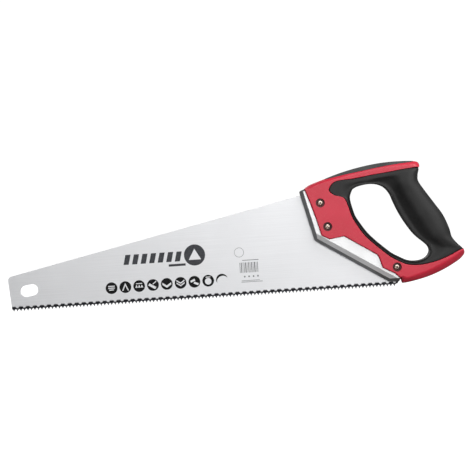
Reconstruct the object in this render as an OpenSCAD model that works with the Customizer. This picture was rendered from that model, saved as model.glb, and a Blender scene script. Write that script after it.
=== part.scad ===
// Hand saw: a tapered toothed blade held between two metal bolster cheeks and two handle halves.
// Drawn from the tip of the first tooth, at the toe: X runs along the tooth line to the handle,
// Y is across the blade and Z points up, away from the teeth. The finished pieces are then moved
// so that the origin is on the tooth line, halfway along the whole saw.

/* [Blade] */
// Length of the toothed edge, from toe to heel
toothed_length = 400; // [300:5:550]
// Height of the blade at the toe
toe_height = 36; // [28:1:50]
// Height of the blade where it enters the bolster
heel_height = 100.5; // [85:0.5:103]
// Thickness of the steel
blade_thickness = 0.9; // [0.6:0.05:1.6]
// How far the toe's top corner stands ahead of the first tooth
toe_lean = 2.5; // [0:0.5:6]
// Radius of the toe's top corner
toe_corner_radius = 4; // [1:0.5:8]
// Distance from one tooth tip to the next
tooth_pitch = 3.64; // [2:0.02:6]
// Height of a tooth
tooth_depth = 2.6; // [1.5:0.1:4]

/* [Hang slot] */
// Length of the hang slot, end to end
slot_length = 18.5; // [12:0.5:24]
// Width of the hang slot
slot_width = 12; // [6:0.5:14]
// Distance of the slot's middle from the toe
slot_from_toe = 19; // [16:0.5:30]
// Height of the slot's middle above the tooth line
slot_height = 21; // [16:0.5:24]
// Angle of the slot to the tooth line
slot_angle = 8; // [0:1:15]

/* [Bolster] */
// Thickness across both bolster cheeks
bolster_thickness = 16; // [12:0.5:18]
// Width of the bevel along the two marking edges
bolster_bevel = 3.6; // [3:0.1:5]
// Width of the gentle slope that starts before the bevel on the slanting edge
bolster_shoulder = 7.2; // [5:0.1:9]
// Height of a cheek's outer edge above the middle of the blade
bolster_edge_height = 2.6; // [1.5:0.1:4]
// Thickness across both hidden flanges under the shells
flange_thickness = 5.4; // [4:0.2:7]
// Gap between the bolster and the shell round it
bolster_gap = 0.15; // [0.05:0.05:0.5]

/* [Handle] */
// Length of the handle, from the front of the bolster to the lower horn
handle_length = 166.5; // [150:0.5:200]
// Height of the handle, from the tooth line to the upper horn
handle_height = 129.5; // [115:0.5:145]
// Thickness across the flat red cheeks
cheek_thickness = 21; // [19:0.5:26]
// Thickness across the palm swell
grip_thickness = 31; // [26:0.5:38]
// Thickness of the soft skin
skin_thickness = 2; // [1.2:0.1:3]
// Width of the bevel along the lower edge of the shell
lower_bevel = 6; // [3:0.5:8]
// How far the parting line stands below the shell's lower edges
lower_dome = 0.7; // [0:0.1:1.5]
// Width of the bevel along the top edge of the shell
upper_bevel = 4.8; // [3:0.2:6]
// Thickness of the soft strip on the top edge
pad_thickness = 1.8; // [1:0.1:2.4]

/* [Fasteners] */
// Diameter of the screw shank
shank_diameter = 4; // [3:0.1:4.4]
// Diameter of the sleeve nut's barrel
barrel_diameter = 6; // [5.2:0.1:6.6]
// Diameter of the screw and nut heads
head_diameter = 7; // [6.8:0.1:8]
// Thickness of the heads
head_thickness = 2; // [1.4:0.1:2.6]
// Diameter of the counterbores
counterbore_diameter = 9.4; // [8.6:0.1:10]
// Depth of the counterbores below the cheeks
counterbore_depth = 4.8; // [3.5:0.1:5]
// Radial gap round each shank and barrel
bore_gap = 0.1; // [0.05:0.01:0.2]

/* [Hidden] */

$fn = 48;
over = 1;

// The handle's points are laid out from the heel of the tooth line for this length and height.
layout_length = 166.5;
layout_height = 129.5;
function place(p) = [
    toothed_length + p[0] * handle_length / layout_length,
    p[1] * handle_height / layout_height
];
function placed(list) = [for (p = list) place(p)];

blade_half = blade_thickness / 2;
bolster_half = bolster_thickness / 2;
flange_half = flange_thickness / 2;
cheek_half = cheek_thickness / 2;
grip_half = grip_thickness / 2;
counterbore_floor = cheek_half - counterbore_depth;
barrel_end = flange_half - 0.2;

screw_places = placed([[-73.5, 91.5], [-67.5, 66.5], [1.5, 20]]);
fastener_names = ["front_top", "front_low", "heel"];

// Curves

function lerp(a, b, f) = a + (b - a) * f;
function unit(v) = v / norm(v);
function clamp(v, low, high) = max(low, min(high, v));

// Point at fraction f between b and c on the smooth curve through a, b, c and d
function smooth(a, b, c, d, f) =
    0.5 * (2 * b + (c - a) * f + (2 * a - 5 * b + 4 * c - d) * f * f
    + (3 * b - a - 3 * c + d) * f * f * f);

// Value of a closed list at a station, where the whole part counts entries
function at(list, station) =
    let (n = len(list), k = floor(station), f = station - k)
    smooth(list[(k - 1 + n) % n], list[(k + n) % n], list[(k + 1) % n], list[(k + 2) % n], f);

function at_straight(list, station) =
    let (n = len(list), k = floor(station), f = station - k)
    lerp(list[(k + n) % n], list[(k + 1) % n], f);

// Solid through rings of points; the rings either close on themselves or end in flat caps
module loft(rings, closed) {
    count = len(rings);
    size = len(rings[0]);
    points = [for (ring = rings) for (p = ring) p];
    last = closed ? count - 1 : count - 2;
    sides = [
        for (i = [0:last]) for (j = [0:size - 1])
            let (
                a = i * size + j,
                b = i * size + (j + 1) % size,
                c = ((i + 1) % count) * size + (j + 1) % size,
                d = ((i + 1) % count) * size + j
            )
            each [[a, b, c], [a, c, d]]
    ];
    end = (count - 1) * size;
    caps = closed ? [] : [
        for (j = [1:size - 2]) each [[0, j + 1, j], [end, end + j, end + j + 1]]
    ];
    polyhedron(points = points, faces = concat(sides, caps), convexity = 10);
}

// Upright prism of an outline drawn in X and Z, from one height across the blade to another
module slab(from, to) {
    rotate([90, 0, 0])
        translate([0, 0, -to])
            linear_extrude(to - from)
                children();
}

// Handle: stations run down the front of the hand opening, along its foot, up the palm and back
// along the top. At each one the skin goes from the opening to the border, and the shell from the
// border to the rim.

opening_points = placed([
    [-39.5, 102.5], [-42, 96.5], [-42, 91.5], [-40.6, 85], [-38, 76], [-33.5, 68], [-27, 58.3],
    [-19.5, 50], [-11, 42], [-3, 35.2], [4, 31], [11, 27.3], [16, 25.8], [19.5, 25.4], [23.5, 25.4],
    [28.5, 26.3], [32.5, 28.2], [35.2, 31], [36.7, 35], [35.5, 39.5], [31.5, 43.8], [26, 48.6],
    [20.5, 54.5], [13.5, 65], [7.5, 76], [2.8, 87], [-0.8, 96.5], [-5.5, 102.8], [-11, 106.2],
    [-17, 107.7], [-23, 107.8], [-29, 107], [-34, 105.8], [-37.3, 104.3]
]);
border_points = placed([
    [-63.7, 104.7], [-59, 98.8], [-49, 95], [-45, 86], [-42, 75.5], [-37.2, 66], [-30.5, 55.6],
    [-22.6, 47], [-13.8, 38.8], [-5.6, 31.7], [1.5, 27], [9.3, 23], [15, 21.3], [19.5, 20.8],
    [26, 20.6], [35.5, 21.8], [46, 24.3], [57, 28.4], [66.5, 33], [70.9, 35.1], [66, 40.5],
    [61.2, 47.5], [59, 57], [53.5, 71], [45.5, 83.5], [36.5, 97], [30.3, 107.5], [30, 114],
    [30.8, 121.4], [20, 121.4], [0, 119], [-18, 117], [-37, 114.5], [-56.5, 112.6]
]);
rim_points = placed([
    [-89, 107], [-83.5, 90.8], [-78.5, 74.4], [-74.3, 57.7], [-66.2, 53.4], [-51.1, 55.5],
    [-42.8, 50.1], [-34.5, 44.8], [-17.9, 34], [-16.2, 30.5], [-13.2, 20.3], [-0.9, 13.6],
    [4.8, 8], [6.2, 3], [20, 4.6], [35, 8.2], [49, 13.4], [61, 19.5], [70, 25.5], [73, 31.6], [66, 40.5],
    [61.2, 47.5], [59, 57], [53.5, 71], [45.5, 83.5], [36.5, 97], [30.3, 107.5], [30, 116],
    [32, 123.6], [27.3, 128.3], [4, 129.4], [-18, 127.8], [-42, 123.4], [-65, 116.8]
]);
station_count = len(opening_points);
straight_rim_end = 13;
lower_horn = 19;
upper_horn = 28;
steps = 3;

// How far the palm swell is reached at each station
swell_share = [
    for (i = [0:station_count - 1])
        i < 15 ? 0 : i < 20 ? (i - 15) * 0.07 : i < 22 ? 0.55 + (i - 20) * 0.3
        : i < 27 ? 1 : i < 31 ? 0.85 - (i - 27) * 0.22 : 0
];

function opening_at(s) = at(opening_points, s);
function border_at(s) = at(border_points, s);
function rim_at(s) =
    s < straight_rim_end ? at_straight(rim_points, s) : at(rim_points, s);
function swell_at(s) = clamp(at(swell_share, s), 0, 1);

// Between the horns there is no rim, and the skin wraps round to the parting plane
function wraps(s) = s > lower_horn && s < upper_horn;

// Point of a section: so far from the first place towards the second, at a height across the blade
function section_point(p, q, distance, height) =
    let (r = p + unit(q - p) * distance)
    [r[0], height, r[1]];

lip_height = cheek_half + 0.4;
skin_edge = cheek_half - 0.4;
skin_seat = cheek_half - skin_thickness;
lip_width = 1.6;
wall_height = cheek_half - 2.6;
palm_edge = 5.5;
// Height of the palm's lip and of the scoop beside it, and how much lower its two flanks are
palm_lip = 8.8;
palm_scoop = 9.6;
front_flank_drop = 1.8;
back_flank_drop = 3.4;
// Shares of the section's width at the scoop, the front flank, the crest and the back flank
palm_shares = [0.27, 0.44, 0.64, 0.86];

// Outer face of the skin as [distance, height] from the opening; width is the section's length
function ring_face(width) = [
    [0, 0], [0, wall_height], [lip_width, lip_height],
    for (f = [0.2, 0.45, 0.7, 0.9]) [lerp(lip_width, width, f), lerp(lip_height, skin_edge, f)],
    [width, skin_edge]
];
function palm_face(width) = [
    [0, 0], [0, palm_edge], [lip_width, palm_lip], [width * palm_shares[0], palm_scoop],
    [width * palm_shares[1], grip_half - front_flank_drop], [width * palm_shares[2], grip_half],
    [width * palm_shares[3], grip_half - back_flank_drop], [width, palm_edge]
];
face_end = 7;
function skin_face(s) =
    let (
        width = norm(border_at(s) - opening_at(s)),
        ring = ring_face(width), palm = palm_face(width)
    )
    [for (k = [0:face_end]) lerp(ring[k], palm[k], swell_at(s))];

// Seat of the skin on the shell: the same face moved in by the skin's thickness
function seat_height(k, height, s) =
    k == 0 ? 0
    : (k == 1 || (k == face_end && wraps(s))) ? height - skin_thickness * 0.6
    : lerp(skin_seat, height - skin_thickness, swell_at(s));
function seat_face(s) =
    let (
        face = skin_face(s), width = face[face_end][0],
        room = width - 2 * skin_thickness
    )
    [for (k = [0:face_end])
        [skin_thickness + face[k][0] * room / width, seat_height(k, face[k][1], s)]
    ];

function from_opening(s, face) = [
    for (p = face) section_point(opening_at(s), border_at(s), p[0], p[1])
];

function skin_ring(s) =
    let (face = skin_face(s), seat = seat_face(s), width = face[face_end][0])
    from_opening(s, concat(
        face,
        [
            [width, wraps(s) ? 0 : skin_seat],
            [width - skin_thickness, wraps(s) ? skin_seat / 100 : skin_seat]
        ],
        [for (k = [face_end:-1:0]) seat[k]]
    ));

// Bevel of the rim at a station, as [width, depth, dome beyond its outer edge]: slight beside the
// bolster, wide from the tail
front_bevel = 0.8;
tail_station = 11.6;
bevel_run = 1.4;
lower_bevel_steepness = 0.75;
function edge_bevel(s) =
    s < tail_station + 0.4 ? [front_bevel, front_bevel, 0]
    : s < lower_horn + 1
        ? let (grown = min(1, (s - tail_station) / bevel_run))
            [lower_bevel * grown, lower_bevel * lower_bevel_steepness, lower_dome]
    : [upper_bevel, upper_bevel, 0];

// Outer part of the shell's section: the rim, or the plain wall under the palm's skin
function rim_part(s) =
    let (
        b = border_at(s), r = rim_at(s), length = norm(r - b), bevel = edge_bevel(s),
        across = min(bevel[0], length * 0.7)
    )
    [
        section_point(b, opening_at(s), skin_thickness, skin_seat),
        section_point(b, r, 0, skin_seat),
        section_point(b, r, 0, cheek_half),
        section_point(b, r, length - across, cheek_half),
        section_point(b, r, length - bevel[2], cheek_half - bevel[1]),
        section_point(b, r, length, 0)
    ];
function wall_part(s, height) = [
    for (k = [5:-1:0]) section_point(border_at(s), opening_at(s), skin_thickness, height * k / 6)
];

function shell_ring(s) =
    let (seat = seat_face(s))
    concat(
        from_opening(s, seat),
        wraps(s) ? wall_part(s, seat[face_end][1]) : rim_part(s)
    );

horn_step = 0.02;
loop_stations = [
    for (i = [0:station_count * steps - 1])
        each i == lower_horn * steps ? [lower_horn, lower_horn + horn_step]
            : i == upper_horn * steps ? [upper_horn - horn_step, upper_horn] : [i / steps]
];

// Strip let into the top edge: it fades out towards both ends
pad_first = upper_horn + 1.1;
pad_last = station_count - 0.9;
pad_stations = [for (i = [0:steps * 6]) lerp(pad_first, pad_last, i / (steps * 6))];
function pad_share(s) =
    let (f = (s - pad_first) / (pad_last - pad_first))
    0.12 + 0.8 * sqrt(max(0, sin(180 * f)));

// proud pushes the outer corners out, which makes the cutter for the strip's seat
function pad_ring(s, proud) =
    let (
        b = border_at(s), r = rim_at(s), length = norm(r - b), share = pad_share(s),
        depth = pad_thickness * share, across = upper_bevel * share,
        edge = cheek_half - upper_bevel
    )
    [
        section_point(b, r, length - across + proud, edge + across + proud),
        section_point(b, r, length + proud, edge + proud),
        section_point(b, r, length + proud, -proud),
        section_point(b, r, length - depth, -proud),
        section_point(b, r, length - depth, edge - depth * 0.4),
        section_point(b, r, length - across - depth * 0.7, edge + across - depth * 0.7)
    ];

module half_pad(proud) {
    loft([for (s = pad_stations) pad_ring(s, proud)], false);
}

// Blade

tooth_count = round(toothed_length / tooth_pitch);
pitch = toothed_length / tooth_count;
bolster_top = [-94.4, 105.2];
bolster_corner = [-81.4, 52.9];
bolster_foot = [-7.5, 5.6];
bolster_tail = [3.6, 4.8];
tang_points = [
    [3, 5.2], [6.5, 13], [5.5, 24.5], [-4, 29.5], [-15, 34.5], [-50, 59.5], [-60, 71.5], [-60, 97],
    [-82, 98]
];
back_at_bolster = [place(bolster_top)[0], heel_height];
back_slope = (heel_height - toe_height) / (back_at_bolster[0] + toe_lean);
toe_corner_x = toe_corner_radius - toe_lean;
toe_corner = [
    toe_corner_x,
    toe_height + back_slope * (toe_corner_x + toe_lean) - toe_corner_radius * norm([1, back_slope])
];

module blade_outline() {
    teeth = [
        for (i = [0:tooth_count - 1])
            each [[i * pitch, 0], [(i + 0.5) * pitch, tooth_depth]]
    ];
    polygon(concat(
        teeth,
        [[toothed_length, 0]],
        placed(tang_points),
        [
            back_at_bolster,
            toe_corner + toe_corner_radius * unit([-back_slope, 1]),
            toe_corner,
            toe_corner - [toe_corner_radius, 0]
        ]
    ));
    translate(toe_corner)
        circle(toe_corner_radius);
}

module hang_slot_outline() {
    straight = slot_length - slot_width;
    translate([slot_from_toe, slot_height])
        rotate(slot_angle) {
            square([straight, slot_width], center = true);
            for (side = [-1, 1])
                translate([side * straight / 2, 0])
                    circle(d = slot_width);
        }
}

// Round holes or shanks through the handle, one at each screw
module at_screws(diameter, from, to) {
    for (p = screw_places)
        slab(from, to)
            translate(p)
                circle(d = diameter);
}

module blade() {
    color("gainsboro")
        difference() {
            slab(-blade_half, blade_half)
                difference() {
                    blade_outline();
                    hang_slot_outline();
                }
            at_screws(barrel_diameter + 2 * bore_gap, -blade_half - over, blade_half + over);
        }
}

// Bolster cheeks

bolster_back_points = [
    [4.6, 7.9], [-0.9, 13.6], [-13.2, 20.3], [-16.2, 30.5], [-17.9, 34], [-51.1, 55.5],
    [-66.2, 53.4], [-74.3, 57.7], [-78.5, 74.4], [-83.5, 90.8], [-89, 107]
];
flange_points = [
    [3, 7.5], [8, 13], [7, 25.5], [-4, 30.5], [-15, 36.2], [-50, 62], [-57.5, 73], [-57.5, 99], [-86, 100],
    [-80, 60], [-60, 50], [-20, 28]
];

shoulder_slope = 0.25;

// Wedge that bevels the edge from p to q, whose solid side is on the left of that way
module bevel_wedge(p, q, width, slope) {
    run = q - p;
    low = bolster_half - width * slope;
    beyond = 3; // spare material cut above and outside the edge
    past = 12; // spare length at both ends
    translate([p[0], 0, p[1]])
        rotate([0, -atan2(run[1], run[0]), 0])
            translate([-past, 0, 0])
                rotate([90, 0, 90])
                    linear_extrude(norm(run) + 2 * past)
                        polygon([
                            [low - beyond * slope, -beyond],
                            [bolster_half + beyond * slope, width + beyond],
                            [bolster_half + beyond * slope, -beyond]
                        ]);
}

module half_bolster() {
    edges = placed([bolster_top, bolster_corner, bolster_foot, bolster_tail]);
    back = placed(bolster_back_points);
    bevel_slope = (bolster_half - bolster_edge_height) / bolster_bevel;
    difference() {
        union() {
            slab(blade_half, bolster_half)
                offset(delta = -bolster_gap)
                    polygon(concat(edges, back));
            slab(blade_half, flange_half)
                polygon(placed(flange_points));
        }
        for (i = [0:2])
            bevel_wedge(edges[i], edges[i + 1], bolster_bevel, bevel_slope);
        bevel_wedge(edges[1], edges[2], bolster_shoulder, shoulder_slope);
        bevel_wedge(back[len(back) - 1], edges[0], bolster_bevel / 2, bevel_slope);
        at_screws(barrel_diameter + 2 * bore_gap, 0, bolster_half);
    }
}

module bolster_left() {
    color("silver") mirror([0, 1, 0]) half_bolster();
}

module bolster_right() {
    color("silver") half_bolster();
}

// Handle shells

cavity_spans = [[19.9, 21.1], [21.6, 23], [23.4, 24.7], [25.2, 26.8]];
cavity_depth = 8.5;
peg_stations = [21.35, 24.95];
peg_diameter = 4;
peg_length = 3.5;

// Hollow between two stations of the palm, walls left on both sides
module cavity(span) {
    wall_share = 0.24;
    picks = [for (f = [0, 0.5, 1]) lerp(span[0], span[1], f)];
    slab(-over, cavity_depth)
        polygon(concat(
            [for (s = picks) lerp(opening_at(s), border_at(s), wall_share)],
            [for (i = [2:-1:0]) lerp(opening_at(picks[i]), border_at(picks[i]), 1 - wall_share)]
        ));
}

module at_pegs(diameter, from, to) {
    for (s = peg_stations)
        slab(from, to)
            translate(lerp(opening_at(s), border_at(s), 0.5))
                circle(d = diameter);
}

module half_shell() {
    difference() {
        loft([for (s = loop_stations) shell_ring(s)], true);
        half_pad(over);
        slab(-over, flange_half + bolster_gap)
            offset(delta = bolster_gap)
                polygon(placed(flange_points));
        for (span = cavity_spans)
            cavity(span);
        at_screws(counterbore_diameter, counterbore_floor, cheek_half + over);
    }
}

module handle_shell_left() {
    color("firebrick") {
        difference() {
            mirror([0, 1, 0]) half_shell();
            at_screws(shank_diameter + 2 * bore_gap, -cheek_half, over);
        }
        at_pegs(peg_diameter, -over, peg_length);
    }
}

module handle_shell_right() {
    color("firebrick")
        difference() {
            half_shell();
            at_screws(barrel_diameter + 2 * bore_gap, -over, cheek_half);
            at_pegs(peg_diameter + 2 * bore_gap, -over, peg_length + 0.3);
        }
}

// Soft skins and top strips

module half_grip() {
    loft([for (s = loop_stations) skin_ring(s)], true);
}

module grip_left() {
    color("dimgray") mirror([0, 1, 0]) half_grip();
}

module grip_right() {
    color("dimgray") half_grip();
}

module top_pad_left() {
    color("dimgray") mirror([0, 1, 0]) half_pad(0);
}

module top_pad_right() {
    color("dimgray") half_pad(0);
}

// Fasteners

recess_depth = 1.3;
recess_width = 1.1;
recess_span = 4;
thread_gap = 0.05;

module screw(place) {
    head_top = -counterbore_floor - head_thickness;
    shank_end = counterbore_floor - 0.6;
    color("burlywood")
        difference() {
            union() {
                slab(head_top, -counterbore_floor)
                    translate(place)
                        circle(d = head_diameter);
                slab(-counterbore_floor - head_thickness / 2, shank_end)
                    translate(place)
                        circle(d = shank_diameter);
            }
            for (turn = [0, 90])
                slab(head_top - over, head_top + recess_depth)
                    translate(place)
                        rotate(turn + 45)
                            square([recess_span, recess_width], center = true);
        }
}

module nut(place) {
    head_top = counterbore_floor + head_thickness;
    color("burlywood")
        difference() {
            union() {
                slab(counterbore_floor, head_top)
                    translate(place)
                        circle(d = head_diameter);
                slab(-barrel_end, counterbore_floor + head_thickness / 2)
                    translate(place)
                        circle(d = barrel_diameter);
            }
            slab(-barrel_end - over, counterbore_floor)
                translate(place)
                    circle(d = shank_diameter + 2 * thread_gap);
            slab(head_top - recess_depth, head_top + over)
                translate(place)
                    square([recess_width, head_diameter + over], center = true);
        }
}

// Moves the middle of the saw's length to the origin
module framed() {
    handle_tip = rim_points[lower_horn];
    translate([-(handle_tip[0] - toe_lean) / 2, 0, 0])
        children();
}

framed() blade();
framed() bolster_left();
framed() bolster_right();
framed() handle_shell_left();
framed() handle_shell_right();
framed() grip_left();
framed() grip_right();
framed() top_pad_left();
framed() top_pad_right();
for (i = [0:2]) {
    framed() screw(screw_places[i]);
    framed() nut(screw_places[i]);
}
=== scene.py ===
"""Hand saw: a steel blade, two cast bolster cheeks, two red handle shells with soft black skins.

Everything is in metres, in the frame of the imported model. Each sub-assembly is a class that models
its meshes and dresses them, and each finish is a small class that makes its material.
"""

import logging
import math
from dataclasses import dataclass, field
from enum import Enum

import bmesh
import bpy
from mathutils import Matrix, Vector


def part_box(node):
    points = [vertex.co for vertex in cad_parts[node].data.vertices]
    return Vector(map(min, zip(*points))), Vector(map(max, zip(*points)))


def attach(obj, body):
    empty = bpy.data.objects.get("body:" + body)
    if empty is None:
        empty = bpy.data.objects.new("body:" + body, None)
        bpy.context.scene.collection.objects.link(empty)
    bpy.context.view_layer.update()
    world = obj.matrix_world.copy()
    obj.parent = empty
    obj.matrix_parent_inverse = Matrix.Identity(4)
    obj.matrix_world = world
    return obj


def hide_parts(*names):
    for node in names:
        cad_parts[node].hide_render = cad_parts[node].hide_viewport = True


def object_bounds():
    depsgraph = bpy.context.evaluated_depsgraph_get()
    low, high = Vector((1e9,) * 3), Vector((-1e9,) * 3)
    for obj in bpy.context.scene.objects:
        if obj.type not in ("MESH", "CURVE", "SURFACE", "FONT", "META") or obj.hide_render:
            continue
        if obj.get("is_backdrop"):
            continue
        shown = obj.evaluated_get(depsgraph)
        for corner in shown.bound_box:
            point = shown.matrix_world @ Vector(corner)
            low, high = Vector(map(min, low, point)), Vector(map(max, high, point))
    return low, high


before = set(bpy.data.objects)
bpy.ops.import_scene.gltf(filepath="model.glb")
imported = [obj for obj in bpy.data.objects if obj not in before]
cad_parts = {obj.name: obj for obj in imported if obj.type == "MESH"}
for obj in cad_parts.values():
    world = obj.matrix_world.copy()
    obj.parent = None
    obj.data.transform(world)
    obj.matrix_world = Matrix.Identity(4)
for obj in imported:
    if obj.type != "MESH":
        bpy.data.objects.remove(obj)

LOG = logging.getLogger("hand_saw")
MM = 0.001

Point = tuple[float, float]
Place = tuple[float, float, float]
Ring = list[Place]
Colour = tuple[float, float, float]
Socket = bpy.types.NodeSocket


class Side(Enum):
    """The user's side of the blade; the value is the sign of Y."""

    LEFT = -1
    RIGHT = 1

    @property
    def label(self) -> str:
        """Name of the side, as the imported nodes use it."""
        return self.name.lower()


# ---------------------------------------------------------------------------------------------
# Small geometry helpers
# ---------------------------------------------------------------------------------------------


def lerp(a: float, b: float, share: float) -> float:
    """Return the value a share of the way from a to b."""
    return a + (b - a) * share


def mix_points(a: Point, b: Point, share: float) -> Point:
    """Return the point a share of the way from a to b."""
    return lerp(a[0], b[0], share), lerp(a[1], b[1], share)


def smooth_value(a: float, b: float, c: float, d: float, share: float) -> float:
    """Return the value between b and c on the smooth curve through four values.

    Args:
        a: Value before the stretch.
        b: Value at its start.
        c: Value at its end.
        d: Value after it.
        share: Place along the stretch, from 0 to 1.
    """
    return 0.5 * (
        2 * b
        + (c - a) * share
        + (2 * a - 5 * b + 4 * c - d) * share**2
        + (3 * b - a - 3 * c + d) * share**3
    )


def smooth_point(points: list[Point], place: float) -> Point:
    """Return the point at a place on the smooth closed curve through points."""
    count = len(points)
    k = math.floor(place)
    four = [points[(k + i) % count] for i in (-1, 0, 1, 2)]
    share = place - k
    return tuple(smooth_value(*(p[axis] for p in four), share) for axis in (0, 1))


def straight_point(points: list[Point], place: float) -> Point:
    """Return the point at a place on the closed run of straight lines through points."""
    k = math.floor(place)
    return mix_points(points[k % len(points)], points[(k + 1) % len(points)], place - k)


def smooth_run(points: list[Point], per_stretch: int) -> list[Point]:
    """Return an open smooth curve through points.

    Args:
        points: The points that the curve passes through.
        per_stretch: Number of pieces between two of them.

    Returns:
        The curve's points, both ends included.
    """
    ends = [points[0], *points, points[-1]]
    run = []
    for i in range(len(points) - 1):
        for step in range(per_stretch):
            share = step / per_stretch
            run.append(
                tuple(smooth_value(*(p[a] for p in ends[i : i + 4]), share) for a in (0, 1))
            )
    return [*run, points[-1]]


def distance(a: Point, b: Point) -> float:
    """Return the distance between two points."""
    return math.hypot(b[0] - a[0], b[1] - a[1])


def towards(start: Point, aim: Point, length: float) -> Point:
    """Return the point at a length from start on the way to aim."""
    return mix_points(start, aim, length / distance(start, aim))


def rounded(corners: list[tuple[float, float, float]], pieces: int) -> list[Point]:
    """Round the inner corners of an open run of lines.

    Args:
        corners: The corners as (across, height, radius); both ends stay as they are.
        pieces: Number of pieces in each round.

    Returns:
        The points of the run, with pieces + 1 points for each inner corner.
    """
    run = [corners[0][:2]]
    for before, here, after in zip(corners, corners[1:], corners[2:]):
        corner = here[:2]
        if not here[2]:
            run.append(corner)
            continue
        reach = min(
            here[2], 0.48 * distance(before[:2], corner), 0.48 * distance(corner, after[:2])
        )
        start, end = towards(corner, before[:2], reach), towards(corner, after[:2], reach)
        for step in range(pieces + 1):
            share = step / pieces
            run.append(
                mix_points(mix_points(start, corner, share), mix_points(corner, end, share), share)
            )
    run.append(corners[-1][:2])
    return run


def inset_outline(outline: list[Point], insets: list[float]) -> list[Point]:
    """Move each edge of a closed outline inwards by its own distance.

    Args:
        outline: Corners, running anticlockwise.
        insets: One distance for the edge that starts at each corner.

    Returns:
        The corners of the smaller outline, in the same order.
    """
    count = len(outline)
    lines = []
    for i, inset in enumerate(insets):
        a, b = outline[i], outline[(i + 1) % count]
        length = distance(a, b)
        normal = (-(b[1] - a[1]) / length, (b[0] - a[0]) / length)
        shifted = (a[0] + normal[0] * inset, a[1] + normal[1] * inset)
        lines.append((shifted, (b[0] - a[0], b[1] - a[1])))
    corners = []
    for i in range(count):
        (p, u), (q, v) = lines[i - 1], lines[i]
        cross = u[0] * v[1] - u[1] * v[0]
        along = ((q[0] - p[0]) * v[1] - (q[1] - p[1]) * v[0]) / cross
        corners.append((p[0] + u[0] * along, p[1] + u[1] * along))
    return corners


# ---------------------------------------------------------------------------------------------
# Bench: modelling with Blender's own operators
# ---------------------------------------------------------------------------------------------


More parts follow.
